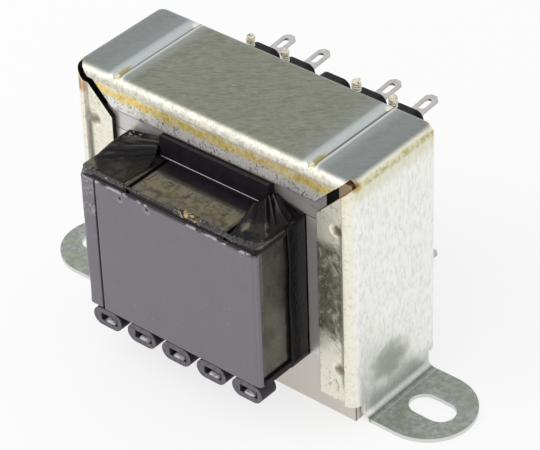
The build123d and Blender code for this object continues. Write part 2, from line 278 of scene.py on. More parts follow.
class Shader(Nodes):
    """A material, and the nodes that give its finish."""

    def __init__(self, name):
        self.material = bpy.data.materials.new(name)
        self.material.use_nodes = True
        super().__init__(self.material.node_tree)
        coordinates = self.add("ShaderNodeTexCoord", output="Object")
        self.place = self.add("ShaderNodeVectorMath", {0: coordinates, "Scale": 1 / MM}, operation="SCALE")
        self.x = self.add("ShaderNodeSeparateXYZ", {0: self.place})
        self.y, self.z = (Value(self, self.x.socket.node.outputs[index]) for index in (1, 2))

    def stretched(self, x, y, z, turn=0):
        """The place scaled along its axes, after a turn about Z in degrees."""
        place = self.place
        if turn:
            turned = {"Vector": place, "Angle": math.radians(-turn)}
            place = self.add("ShaderNodeVectorRotate", turned, rotation_type="Z_AXIS")
        return self.add("ShaderNodeVectorMath", {0: place, 1: (x, y, z)}, operation="MULTIPLY")

    def noise(self, scale, detail=3.0, rough=0.55, stretch=None, warp=0.0):
        place = self.stretched(*stretch) if stretch else self.place
        values = {"Vector": place, "Scale": scale, "Detail": detail, "Roughness": rough, "Distortion": warp}
        return self.add("ShaderNodeTexNoise", values)

    def distance(self, point, place=None):
        ends = {0: place or self.place, 1: point}
        return self.add("ShaderNodeVectorMath", ends, "Value", operation="DISTANCE")

    def spot(self, x, y, z, radius, soft, wander=0.0):
        """1 near a point and 0 away from it, with a ragged edge."""
        away = self.distance((x, y, z))
        if wander:
            away = away + wander * (self.noise(0.8, 4) - 0.5)
        return away.fall(radius - soft, radius + soft)

    def color(self, color):
        """What a colour socket takes: a link, a setting's linear colour, or a tuple's display colour."""
        if isinstance(color, Value):
            return color
        return (*(tone(*color) if isinstance(color, tuple) else color), 1)

    def mix(self, factor, first, second):
        sockets = {0: factor, 6: self.color(first), 7: self.color(second)}
        return self.add("ShaderNodeMix", sockets, 2, data_type="RGBA")

    def layers(self, color, *coats):
        """A colour under coats, each of which is a mask and its colour."""
        for mask, coat_color in coats:
            color = self.mix(mask, color, coat_color)
        return color

    def bump(self, height, depth_mm):
        return self.add("ShaderNodeBump", {"Height": height, "Distance": depth_mm * MM, "Strength": 1.0})

    def close(self, surface):
        self.add("ShaderNodeOutputMaterial", {"Surface": surface})
        return self.material

    def finish(self, **sockets):
        """Closes the material with a Principled surface."""
        named = {key.replace("_", " ").title().replace("Ior", "IOR"): value for key, value in sockets.items()}
        return self.close(self.add("ShaderNodeBsdfPrincipled", named))


class Tree(Nodes):
    """A Geometry Nodes tree that ends in Realize Instances and Set Material."""

    def __init__(self, name, **kinds):
        super().__init__(bpy.data.node_groups.new(name, "GeometryNodeTree"))
        self.sockets = {}
        for label, kind in {"Geometry": "Geometry", **kinds, "Material": "Material"}.items():
            self.sockets[label] = self.tree.interface.new_socket(
                label, in_out="INPUT", socket_type="NodeSocket" + kind
            )
        self.tree.interface.new_socket("Geometry", in_out="OUTPUT", socket_type="NodeSocketGeometry")
        self.entry = self.tree.nodes.new("NodeGroupInput")

    def given(self, *labels):
        values = [Value(self, self.entry.outputs[label]) for label in labels]
        return values if len(values) > 1 else values[0]

    def float_random(self, low, high, seed):
        return self.add("FunctionNodeRandomValue", {2: low, 3: high, 8: seed}, 1, data_type="FLOAT")

    def close(self, points, instance, **more):
        """Puts an instance on each point, and ends the tree."""
        laid = self.add("GeometryNodeInstanceOnPoints", {0: points, "Instance": instance, **more})
        real = self.add("GeometryNodeRealizeInstances", {0: laid})
        painted = self.add("GeometryNodeSetMaterial", {0: real, "Material": self.given("Material")})
        self.add("NodeGroupOutput", {0: painted})
        return self

    def apply(self, piece, **values):
        """Runs the tree on a piece, with the piece's own material."""
        modifier = piece.modifiers.new(self.tree.name, "NODES")
        modifier.node_group = self.tree
        for label, value in {**values, "Material": piece.data.materials[0]}.items():
            modifier[self.sockets[label].identifier] = value
        return bake_modifiers(piece)


def sheet_stack_tree():
    """Lays one sheet many times along Y, bundle by bundle, each a little out of line."""
    tree = Tree(
        "sheet_stack",
        Sheets="Int", Bundle="Int", First="Int", Start="Float", Pitch="Float", Jitter="Float", Seed="Int",
    )
    line = tree.add("GeometryNodeMeshLine", {"Count": tree.given("Sheets"), "Offset": (0, 0, 0)})
    index = tree.add("GeometryNodeInputIndex")
    bundle, jitter, seed = tree.given("Bundle", "Jitter", "Seed")
    skipped = ((index / bundle).math("FLOOR") + tree.given("First")) * bundle
    depth = (index + skipped) * tree.given("Pitch") + tree.given("Start")
    across = tree.float_random(jitter * -1.0, jitter, seed)
    lift = tree.float_random(jitter * -1.0, jitter, seed + 7.0)
    place = tree.add("ShaderNodeCombineXYZ", {0: across, 1: depth, 2: lift})
    points = tree.add("GeometryNodeSetPosition", {0: line, "Position": place})
    return tree.close(points, tree.given("Geometry"))


def wound_lead_tree():
    """Winds wire round each post: a spiral on every point of the mesh it is given."""
    tree = Tree("wound_lead", Turns="Float", Radius="Float", Height="Float", Wire="Float", Seed="Int")
    turns, radius, height = tree.given("Turns", "Radius", "Height")
    sizes = {"Rotations": turns, "Start Radius": radius, "End Radius": radius, "Height": height}
    spiral = tree.add("GeometryNodeCurveSpiral", {"Resolution": 22, **sizes})
    circle = tree.add("GeometryNodeCurvePrimitiveCircle", {"Resolution": 8, "Radius": tree.given("Wire")})
    wire = tree.add("GeometryNodeCurveToMesh", {0: spiral, 1: circle, "Fill Caps": True})
    turn = tree.add("ShaderNodeCombineXYZ", {2: tree.float_random(0.0, 6.28, tree.given("Seed"))})
    lean = tree.float_random(0.85, 1.12, tree.given("Seed"))
    return tree.close(tree.given("Geometry"), wire, Rotation=turn, Scale=lean)


def lump_tree():
    """Scatters small lumps along the path it is given, thick and thin by turns."""
    tree = Tree("varnish_lumps", Count="Int", Spread="Float", Grain="Float", Seed="Int")
    curve = tree.add("GeometryNodeMeshToCurve", {0: tree.given("Geometry")})
    points = tree.add("GeometryNodeCurveToPoints", {0: curve, "Count": tree.given("Count")}, mode="COUNT")
    spread, seed = tree.given("Spread", "Seed")
    x, y, z = (tree.float_random(spread * -1.0, spread, seed + float(step)) for step in (1, 2, 3))
    away = tree.add("ShaderNodeCombineXYZ", {0: x, 1: y, 2: z * 0.5})
    moved = tree.add("GeometryNodeSetPosition", {0: points, "Offset": away})
    ball = tree.add("GeometryNodeMeshIcoSphere", {"Radius": tree.given("Grain"), "Subdivisions": 2})
    return tree.close(moved, ball, Scale=tree.float_random(0.35, 1.0, seed + 9.0))


# Finishes
def zinc_top(shader, settings, grain):
    """The varnished top: olive in the middle and darker than the sides, partly as painted shade, with painted
    bluish reflections beside the grooves and towards the bends, painted highlights on the grooves' walls and
    rims, painted shade in the grooves, and short bright dashes.
    """
    x, y = shader.x, shader.y
    dash = shader.noise(1.0, 3, 0.6, (1.1, 4.2, 1.1, 40))
    coats = [
        (grain.rise(0.4, 0.66) * 0.75, scaled(settings.top_color, 0.62)),
        (dash.rise(0.63, 0.72) * 0.6, (190, 194, 182)),
        # Painted reflection: bluish towards both bends.
        (abs(x).rise(24.0, 27.0) * 0.55, (132, 140, 146)),
    ]
    for groove_x in (-GROOVE_X, GROOVE_X):
        across = x - groove_x
        # Painted light at each groove: painted bluish reflections on either side of it, painted highlights on
        # its near wall and its rim, and painted shade in its valley; the gold is a real stain.
        beside = across.rise(-5.5, -1.2) * across.fall(-0.1, 0.0)
        groove_wall_highlight = across.rise(-2.2, -0.7) * across.fall(-0.03, 0.03)
        groove_rim_highlight = across.rise(1.2, 1.35) * across.fall(1.6, 2.1)
        after = across.rise(1.4, 1.6) * across.fall(2.0, 4.5)
        gold = y.fall(-8.4, -6.6) * across.between(-0.5, 1.2, 0.3)
        coats += [
            (beside * 0.4, (150, 158, 162)),
            (groove_wall_highlight * (0.75 + 0.6 * (grain - 0.5)), (206, 212, 214)),
            (across.between(0.02, 1.2, 0.04) * 0.9, (104, 108, 102)),
            (groove_rim_highlight * 0.85, (216, 220, 218)),
            (after * 0.45, (168, 174, 176)),
            (gold * 0.85, (166, 154, 86)),
        ]
    return shader.layers(settings.top_color, *coats)


def zinc_side(shader, settings, streak):
    """A clean side: pale, with upright spangle streaks and dull grey-green patches by the foot."""
    y, z = shader.y, shader.z
    bright = shader.noise(1.0, 3, 0.6, (1, 1.7, 0.75))
    ragged = 5.5 * (shader.noise(0.32, 4, 0.62) - 0.5)
    patch = shader.distance((34.25, -1.6, 10.2), shader.stretched(1, 0.62, 1))
    return shader.layers(
        settings.side_color,
        (streak.rise(0.44, 0.66) * 0.4, (192, 194, 190)),
        (bright.rise(0.58, 0.7) * 0.45, (240, 240, 238)),
        ((patch + ragged).fall(1.6, 5.2) * 0.75, (158, 166, 152)),
        ((z + ragged).fall(2.5, 7.5) * y.rise(-9.5, -7.0) * 0.6, (166, 172, 166)),
        ((z + 0.5 * ragged).rise(50.4, 53.0) * 0.5, (214, 209, 170)),
    )


def zinc_lip(shader, settings):
    """The bends and lips: cream, mottled, with olive grime on the pressed right lip."""
    x, z = shader.x, shader.z
    wide = abs(x)
    mottle = shader.noise(1.1, 5, 0.65, None, 0.6)
    marble = shader.noise(0.5, 5, 0.7, (1, 1, 0.7), 0.5)
    fleck = shader.noise(0.8, 5, 0.7, (1, 1, 0.7), 1.0).rise(0.56, 0.66)
    pressed = (wide + 0.5 * (mottle - 0.5)).fall(30.6, 31.2)
    shade = wide.between(30.6, 31.4, 0.35) * z.between(8.0, 46.0, 1.5)
    band = (z + 5.0 * (mottle - 0.5)).between(19.0, 40.5, 1.6) * x.rise(0.0, 1.0)
    dirty = shader.layers(
        (196, 194, 176),
        (marble.rise(0.38, 0.5), (124, 123, 104)),
        (marble.rise(0.52, 0.58), (82, 80, 62)),
        (marble.rise(0.6, 0.66), (176, 173, 152)),
    )
    return shader.layers(
        settings.lip_color,
        (mottle.rise(0.5, 0.68) * 0.5, (188, 184, 160)),
        (shader.noise(2.4, 4, 0.6).rise(0.56, 0.68) * 0.5, (243, 241, 234)),
        (shade * 0.75, (140, 141, 124)),
        (band * pressed * 0.92, dirty),
        (z.fall(18.0, 21.0) * pressed * fleck * 0.7, (150, 148, 132)),
        (z.rise(44.0, 47.0) * fleck * pressed * 0.6, (160, 158, 122)),
    )


def zinc_front_bend(shader, color, settings):
    """Varnish dried along the front: gold under the bend, and a mottled grey-white crust below it."""
    x, z = shader.x, shader.z
    on_front = abs(shader.y).rise(11.6, 12.2) * abs(x).fall(32.6, 33.4)
    ragged = shader.noise(0.42, 5, 0.68, (0.8, 1, 1.4), 0.4)
    crust = shader.noise(0.85, 4, 0.62, (1.2, 1, 0.9), 0.8)
    level = z + 3.4 * (ragged - 0.5)
    above_mitre = (abs(x) - z).fall(-22.7, -22.3)
    top_lip = z.rise(TOP_LIP_EDGE - 0.3, TOP_LIP_EDGE - 0.1) * above_mitre
    flesh = shader.layers(
        (130, 124, 126),
        (crust.rise(0.36, 0.46), (234, 231, 228)),
        (crust.rise(0.57, 0.62) * 0.7, (120, 114, 112)),
        (crust.rise(0.63, 0.68) * 0.7, (214, 208, 192)),
        (ragged.rise(0.5, 0.62) * 0.4, (196, 190, 172)),
    )
    rich = shader.layers(
        settings.stain_color,
        (crust.rise(0.53, 0.6) * 0.8, (190, 174, 112)),
        (crust.fall(0.38, 0.46) * 0.8, (236, 230, 204)),
    )
    under = level.fall(51.4, 52.2) * on_front
    clear = x.between(8.0, 19.0, 2.0) * x.fall(30.0, 31.0)
    gold = level.between(51.3, 53.3, 0.5) * on_front * (0.95 - 0.45 * clear * ragged.rise(0.45, 0.55))
    bend = z.rise(53.2, 54.0) * on_front
    hem = (z + 0.5 * (crust - 0.5)).between(TOP_LIP_EDGE - 0.3, TOP_LIP_EDGE + 0.35, 0.15)
    return shader.layers(
        color,
        (under * top_lip * 0.9, flesh),
        (gold * (0.3 + 0.7 * above_mitre), rich),
        (bend * (0.45 + 0.5 * crust.rise(0.45, 0.6)), (186, 184, 172)),
        (hem * top_lip * on_front * 0.55, (110, 104, 104)),
    )


def zinc_finish(settings):
    """Zinc plate with short spangle streaks along the strip, varnish stains and rust at its cut edges, a
    painted highlight on the back bend and painted shade in the mitre slots.
    """
    shader = Shader("spangled_zinc")
    x, y, z = shader.x, shader.y, shader.z
    wide = abs(x)
    grain = shader.noise(1.0, 5, 0.66, (0.5, 1.9, 0.5, 40), 0.5)
    streak = shader.noise(1.0, 4, 0.62, (1, 1.7, 0.55), 0.6)
    foot_grain = shader.noise(0.8, 5, 0.68)
    foot = shader.layers(
        settings.foot_color,
        (foot_grain.rise(0.4, 0.6) * 0.8, scaled(settings.foot_color, 0.66)),
        (shader.noise(0.22, 3).rise(0.5, 0.62) * 0.4, (142, 148, 124)),
        (z.fall(0.75, 0.95) * 0.85, (226, 228, 224)),
        (wide.between(CLAMP_HALF_WIDTH + 0.9, CLAMP_HALF_WIDTH + 1.3, 0.25) * 0.7, (92, 96, 88)),
        (wide.between(36.1, 36.4, 0.2) * 0.5, (208, 212, 208)),
    )
    is_side = wide.rise(CLAMP_HALF_WIDTH - 0.9, CLAMP_HALF_WIDTH - 0.2)
    color = shader.mix(is_side, zinc_lip(shader, settings), zinc_side(shader, settings, streak))
    color = zinc_front_bend(shader, color, settings)

    in_groove = wide.between(GROOVE_X - 1.4, GROOVE_X + 1.4, 0.05) * abs(y).fall(10.2, 10.8)
    is_top = (z + in_groove).rise(CLAMP_TOP - 0.95, CLAMP_TOP - 0.2)
    # Painted highlight along the bend at the back of the top.
    back_bend_highlight = y.rise(CLAMP_DEPTH - 1.1, CLAMP_DEPTH - 0.7) * z.rise(CLAMP_TOP - 1.4, CLAMP_TOP - 1.1)
    end = z.between(CLAMP_TOP - 2.3, CLAMP_TOP - 1.0, 0.5) * wide.rise(33.3, 33.9)
    coats = [
        (is_top, zinc_top(shader, settings, grain)),
        (back_bend_highlight * 0.9, (236, 236, 230)),
        (wide.rise(CLAMP_HALF_WIDTH + 0.3, CLAMP_HALF_WIDTH + 1.0), foot),
        (end * (0.3 + 0.6 * foot_grain.rise(0.45, 0.6)), (178, 170, 104)),
    ]
    for side, corner_color in ((-1, (176, 160, 92)), (1, (188, 150, 84))):
        coats.append((shader.spot(side * 34.0, -11.3, 55.4, 1.1, 0.6, 1.6) * 0.9, corner_color))
        for height in (11.8, 44.0):
            rust = shader.spot(side * 29.9, -CLAMP_DEPTH + 0.9, height, 0.95, 0.5, 1.4)
            coats.append((rust * 0.85, (124, 104, 70)))
    cut = wide.fall(LIP_INNER + 0.02, LIP_INNER + 0.06) * z.fall(TOP_LIP_EDGE - 0.02, TOP_LIP_EDGE + 0.02)
    # Painted shade, near black, in the mitre slots, with rust brown and orange on the side flange's cut edge.
    mitre_shade_and_rust = abs(wide - z + 22.45).between(1.18, 1.36, 0.03) * abs(y).rise(10.4, 10.6)
    slot = shader.layers(
        (34, 29, 30), (x.rise(29.6, 29.9), (158, 138, 116)), (x.rise(31.4, 32.2), (196, 132, 66))
    )
    coats += [
        (shader.spot(-33.2, -12.6, 51.6, 1.6, 0.9, 2.4) * 0.85, settings.rust_color),
        (cut, (66, 62, 58)),
        (mitre_shade_and_rust, slot),
    ]

    on_lip = (1 - is_top) * shader.noise(1.4, 5, 0.7, None, 0.8)
    height = grain * 0.4 + streak * 0.4 + shader.noise(0.25, 2) * 2.0 + on_lip * 0.9
    return shader.finish(
        base_color=shader.layers(color, *coats),
        metallic=0.8,
        roughness=0.33 + 0.22 * streak,
        normal=shader.bump(height, 0.07),
    )


def core_finish(settings):
    """Sheared silicon steel under thin varnish, darker in the joints, with painted shade and a painted lit
    patch in the open corners of the clamp, and painted light on the strip beside the coil and on the right of
    the core.
    """
    shader = Shader("varnished_lamination")
    x, z = shader.x, shader.z
    wide = abs(x)
    cloud = shader.noise(0.12, 3)
    smear = shader.noise(1.0, 4, 0.6, (0.25, 1, 0.8))
    edges = shader.noise(1.0, 1, 0.5, (0.02, 2.4, 0.02))
    edge_lines = edges.rise(0.48, 0.56) * wide.rise(CORE_HALF_WIDTH - 0.1, CORE_HALF_WIDTH)
    # Painted light: the strip beside the coil is made paler against the shade that the coil casts and
    # reflects on it.
    strip = wide.rise(21.2, 21.6) * z.between(11.5, 43.9, 0.6)
    # Painted shade in the open corners of the clamp, with a painted lit patch on their outer side.
    open_corner_shade_and_light = (wide - z).between(-24.1, -20.8, 0.1) * wide.rise(26.9, 27.1)
    lit = shader.mix(x.rise(29.9, 30.1), (22, 18, 20), (196, 174, 146))
    color = shader.layers(
        settings.color,
        # Painted light: right of x -8 the core keeps the paler settings colour against the shade there, and
        # further left it is darker.
        (x.fall(-16.0, -8.0), (212, 207, 204)),
        ((smear + 0.3 * (cloud - 0.5)).rise(0.5, 0.72) * 0.35, (124, 118, 116)),
        (strip * 0.85, (236, 234, 232)),
        (z.fall(9.0, 13.0), (214, 207, 199)),
        (open_corner_shade_and_light, lit),
        (z.between(WINDOW_MIDDLE + 16.43, WINDOW_MIDDLE + 16.57, 0.03) * 0.9, (50, 45, 46)),
        (edge_lines * 0.8, (84, 80, 80)),
    )
    fine = shader.bump(shader.noise(3.0, 3), 0.01)
    return shader.finish(base_color=color, metallic=0.7, roughness=0.36, coat_weight=0.3, normal=fine)


def plastic_finish(settings):
    """Black moulding: grey and matt on its front pockets, with olive varnish on the front cheek, painted
    shade on the cheek in front of the barrier and along the wire slits, and a painted highlight line at the
    barrier's foot.
    """
    shader = Shader("black_moulding")
    x, y, z = shader.x, shader.y, shader.z
    haze = shader.noise(0.7, 4)
    film = shader.noise(0.5, 5, 0.62, None, 0.8)
    front_row = y.fall(-21.5, -20.9) * z.fall(11.4, 11.7)
    stain = shader.noise(1.1, 4, 0.6).rise(0.5, 0.6)
    face = shader.mix(stain * 0.5, (108, 104, 111), (70, 66, 72))
    on_cheek = z.rise(CHEEK_TOP - 0.4, CHEEK_TOP - 0.1) * z.fall(CHEEK_TOP + 0.1, CHEEK_TOP + 0.2)
    wet = (y + 17.2 + 1.6 * (film - 0.5)).fall(-1.4, 0.6) * on_cheek
    right = shader.spot(18.6, -20.6, CHEEK_TOP, 2.6, 1.6, 2.0) * on_cheek
    coats = [
        (haze.rise(0.4, 0.7) * 0.4, (44, 39, 44)),
        (front_row, shader.mix(y.fall(-25.46, -25.42), (58, 55, 61), face)),
        (y.rise(12.0, 13.0) * 0.7, (14, 9, 10)),
        (wet * 0.95, shader.mix(film.rise(0.36, 0.62), (70, 66, 56), (104, 100, 82))),
        (right * 0.8, (112, 108, 100)),
        # Painted shade on the cheek in front of the barrier.
        (y.rise(-15.2, -14.2) * on_cheek * 0.6, (20, 16, 20)),
    ]
    # Painted shadow along each wire slit.
    for slit in WIRE_SLITS:
        coats.append((x.between(slit - 1.1, slit + 0.7, 0.2) * on_cheek * 0.75, (30, 26, 26)))
    # Painted highlight: a thin pale line along the foot of the barrier.
    barrier_foot = z.between(CHEEK_TOP + 0.03, CHEEK_TOP + 0.2, 0.02)
    line = barrier_foot * y.between(-BARRIER_FRONT - 0.06, -BARRIER_FRONT + 0.06, 0.03)
    coats.append((line, (214, 208, 216)))
    return shader.finish(
        base_color=shader.layers(settings.plastic_color, *coats),
        roughness=0.26 + 0.25 * front_row + 0.1 * haze,
        coat_weight=0.35 * wet,
        specular_ior_level=0.12,
        normal=shader.bump(shader.noise(6.0, 3) * 0.15 + film * on_cheek, 0.1),
    )


def mottled(name, noise_values, limits, first, second, depth_mm, **surface):
    """A finish of two colours in cloudy patches."""
    shader = Shader(name)
    cloud = shader.noise(*noise_values)
    color = shader.mix(cloud.rise(*limits) if limits else cloud, first, second)
    return shader.finish(base_color=color, normal=shader.bump(cloud, depth_mm), **surface)


def tongue_finish():
    """Pale grey, a painted reflection of the light on the floors of the front pockets' mouths."""
    colors = (194, 192, 198), (138, 135, 142)
    return mottled("pale_moulding", (1.6, 4, 0.6), (0.48, 0.6), *colors, 0.05, roughness=0.4)


def sheet_finish(settings):
    """Smooth grey-violet sheet with a dark top edge that carries painted highlights, a painted highlight on
    its right corner, dents, and crusts on its left corner.
    """
    shader = Shader("coil_sheet")
    x, y, z = shader.x, shader.y, shader.z
    cloud = shader.noise(0.16, 4, 0.55)
    ragged = shader.noise(1.2, 5, 0.7)
    crust = shader.noise(1.9, 5, 0.7, None, 1.0)
    edge = (z + 0.5 * (ragged - 0.5)).rise(wrap_high.z - 0.5, wrap_high.z - 0.25)
    # Painted highlights in short pale dashes along the sheet's dark top edge.
    edge_glint = shader.noise(0.3, 4, 0.7).rise(0.5, 0.53)
    coats = [
        (cloud.rise(0.35, 0.7) * 0.5, (112, 104, 112)),
        (shader.noise(1.3, 3, 0.6).rise(0.66, 0.7) * 0.5, (150, 146, 150)),
        (edge * edge_glint * 0.85, (176, 171, 178)),
        (edge * (1 - edge_glint) * 0.9, (52, 47, 50)),
    ]
    for nick_x, nick_z in ((-11.7, 40.6), (-4.8, 41.0)):
        coats += [
            (shader.spot(nick_x, -COIL_Y, nick_z, 0.65, 0.25, 0.7) * 0.6, (156, 152, 158)),
            (shader.spot(nick_x, -COIL_Y, nick_z + 0.25, 0.38, 0.15, 0.5), (22, 18, 20)),
        ]
    left = x.fall(SEAM_X + 0.1, SEAM_X + 0.3) * y.fall(-19.0, -18.0)
    high_crust = (z + 1.6 * (ragged - 0.5)).rise(37.6, 38.6)
    low_crust = (z + 1.2 * (ragged - 0.5)).between(33.8, 36.4, 0.4)
    rough = left * (0.55 * high_crust + low_crust)
    pitted = shader.layers(
        (58, 53, 54), (crust.rise(0.44, 0.52), (150, 145, 146)), (crust.rise(0.58, 0.64), (206, 202, 200))
    )
    wedge = x.between(SEAM_X - 0.3, SEAM_X, 0.05) * z.fall(23.0, 27.0) * y.fall(-24.5, -24.0)
    # Painted highlight: a faintly paler band on the sheet's right corner.
    corner = x.between(COIL_X - 0.75, COIL_X - 0.3, 0.15) * y.fall(-COIL_Y + 0.6, -COIL_Y + 0.8)
    embossed = shader.distance((7.6, -COIL_Y, 41.6)).between(1.9, 2.1, 0.1)
    coats += [
        (rough * 0.85, pitted),
        (wedge, (28, 24, 27)),
        (corner * 0.15, (160, 156, 164)),
        (embossed * 0.3, (84, 80, 88)),
    ]
    height = shader.noise(0.1, 2) * 3.0 + embossed * 0.25 + shader.noise(5.0, 3) * 0.06 + 1.5 * rough * crust
    return shader.finish(
        base_color=shader.layers(settings.sheet_color, *coats),
        roughness=0.36 + 0.1 * cloud,
        coat_weight=0.12,
        normal=shader.bump(height, 0.08),
    )


def tape_finish(settings):
    """Olive tape on the coil's sides, wet with varnish and blotched."""
    shader = Shader("varnished_tape")
    y = shader.y
    blotch = shader.noise(0.26, 4, 0.66, (1, 1, 0.8)).rise(0.38, 0.62)
    color = shader.layers(
        settings.tape_color,
        (blotch * (0.9 - 0.55 * y.rise(0.0, 1.0)), (36, 34, 30)),
        (shader.noise(0.5, 4).rise(0.56, 0.68) * 0.5, (92, 88, 70)),
        (y.rise(-19.4, -17.2) * y.fall(0.0, 1.0) * 0.8, (34, 31, 30)),
        (y.fall(-24.3, -23.7) * 0.7, (40, 38, 36)),
    )
    dents = shader.bump(shader.noise(0.5, 3), 0.2)
    return shader.finish(base_color=color, roughness=0.3, coat_weight=0.4, normal=dents)


def film_finish(settings):
    """Thin dark film with a wet look: olive where it is thin, with painted highlights on the crests of its
    folds and painted shade in their creases.
    """
    shader = Shader("dark_film")
    thin = shader.noise(0.5, 4, 0.6).rise(0.42, 0.58)
    left_patch = shader.spot(-15.4, -22.2, CHEEK_TOP + 0.3, 2.6, 1.2, 2.0)
    right_patch = shader.spot(18.2, -21.6, CHEEK_TOP + 0.3, 2.6, 1.0, 2.4)
    fold = shader.add("ShaderNodeAttribute", output="Fac", attribute_name="fold")
    crest = shader.spot(-18.9, -12.3, CHEEK_TOP + 1.5, 1.6, 0.8, 1.5)
    dry = shader.noise(1.8, 4, 0.6).rise(0.56, 0.62)
    color = shader.layers(
        settings.film_color,
        ((left_patch + right_patch) * thin * 0.8, (122, 116, 100)),
        # Painted highlight on the crests of the folds and painted shade in their creases.
        (fold.rise(0.45, 0.9) * 0.5, (104, 98, 98)),
        (fold.between(-0.05, 0.22, 0.05) * 0.85, (8, 6, 8)),
        (crest * dry * 0.9, (214, 210, 206)),
    )
    return shader.finish(
        base_color=color,
        roughness=0.24,
        coat_weight=0.05,
        specular_ior_level=0.14,
        normal=shader.bump(shader.noise(1.2, 4), 0.08),
    )


def tin_finish(settings):
    shader = Shader("tinned_brass")
    cloud = shader.noise(0.9, 4)
    color = shader.mix(cloud.rise(0.4, 0.7) * 0.5, settings.tag_color, scaled(settings.tag_color, 0.72))
    dents = shader.bump(cloud, 0.04)
    return shader.finish(base_color=color, metallic=0.85, roughness=0.3 + 0.25 * cloud, normal=dents)


def lead_finish(settings):
    colors = settings.color, (128, 120, 98)
    return mottled("enamelled_lead", (1.4, 4), (0.54, 0.64), *colors, 0.05, metallic=0.25, roughness=0.42)


def copper_finish():
    """Enamelled copper, with painted shade where it shows in the slits of the front cheek."""
    shader = Shader("enamelled_copper")
    layer = shader.noise(1.0, 2, 0.5, (0.2, 0.2, 4.0))
    color = shader.mix(layer, (168, 92, 52), (120, 60, 34))
    # Painted shade in the slits of the front cheek.
    color = shader.mix(shader.y.fall(-STACK_HALF - 0.4, -STACK_HALF), color, (34, 26, 24))
    return shader.finish(base_color=color, metallic=0.6, roughness=0.4, normal=shader.bump(layer, 0.1))


def paper_finish():
    return mottled("insulation_paper", (2.0, 4), None, (206, 192, 150), (176, 160, 118), 0.03, roughness=0.8)


def varnish_finish(settings):
    """Thick varnish, near black where it is deep, with pale dry specks and gold in the middle lump."""
    shader = Shader("thick_varnish")
    gold = shader.noise(1.1, 4, 0.6).rise(0.49, 0.57) * shader.x.between(3.0, 7.6, 0.8)
    dry = shader.noise(2.0, 4, 0.6).rise(0.6, 0.68)
    color = shader.layers((36, 32, 31), (gold, settings.color), (dry * 0.8, (196, 191, 186)))
    return shader.finish(
        base_color=color,
        roughness=0.18,
        coat_weight=0.4,
        specular_ior_level=0.35,
        normal=shader.bump(shader.noise(2.5, 3), 0.12),
    )


# Making and handing over pieces
def add_object(name, data, material=None):
    """A new object in the scene, with its material."""
    if material:
        data.materials.clear()
        data.materials.append(material)
    thing = bpy.data.objects.new(name, data)
    bpy.context.scene.collection.objects.link(thing)
    return thing


def mesh_piece(name, points, faces, material, smooth=True, edges=()):
    """A mesh object from points in millimetres."""
    mesh = bpy.data.meshes.new(name)
    mesh.from_pydata([Vector(point) * MM for point in points], edges, faces)
    mesh.validate()
    shade(mesh, smooth)
    return add_object(name, mesh, material)


def shade(mesh, smooth=True):
    mesh.polygons.foreach_set("use_smooth", [smooth] * len(mesh.polygons))


def evaluated_mesh(thing):
    bpy.context.view_layer.update()
    evaluated = thing.evaluated_get(bpy.context.evaluated_depsgraph_get())
    return bpy.data.meshes.new_from_object(evaluated)


def curve_piece(name, curve, material):
    """A mesh object with the shape that a curve or text has with its bevel."""
    thread = add_object(name, curve)
    mesh = evaluated_mesh(thread)
    bpy.data.objects.remove(thread)
    return add_object(name, mesh, material)


def bake_modifiers(piece):
    """Turns a piece's modifiers into its plain mesh."""
    old = piece.data
    piece.data = evaluated_mesh(piece)
    piece.modifiers.clear()
    bpy.data.meshes.remove(old)
    piece.data.name = piece.name
    return piece


def grid_piece(name, columns, rows, place, material, closed=False):
    """A sheet with a point for each item of columns and of rows, where place puts it."""
    points = [place(column, row) for column in columns for row in rows]
    count = len(rows)
    faces = []
    for column in range(len(columns) if closed else len(columns) - 1):
        start = column * count
        following = (column + 1) % len(columns) * count
        for row in range(count - 1):
            faces.append((start + row, following + row, following + row + 1, start + row + 1))
    return mesh_piece(name, points, faces, material)


def thicken(piece, thickness_mm, offset=0.0, bevel_mm=0.0):
    solid = piece.modifiers.new("thickness", "SOLIDIFY")
    solid.thickness = thickness_mm * MM
    solid.offset = offset
    solid.use_even_offset = True
    if bevel_mm:
        bevel = piece.modifiers.new("edge", "BEVEL")
        bevel.width = bevel_mm * MM
        bevel.segments = 3
        bevel.limit_method = "ANGLE"
        bevel.angle_limit = math.radians(50)
    return bake_modifiers(piece)


def hand_over(piece, slot, *nodes):
    """Lets a piece ride on the body, and hides the nodes it stands for."""
    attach(piece, BODY)
    if nodes:
        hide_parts(*nodes)


def coat(material, *nodes):
    """Gives CAD nodes their finish."""
    for node in nodes:
        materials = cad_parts[node].data.materials
        materials.clear()
        materials.append(material)


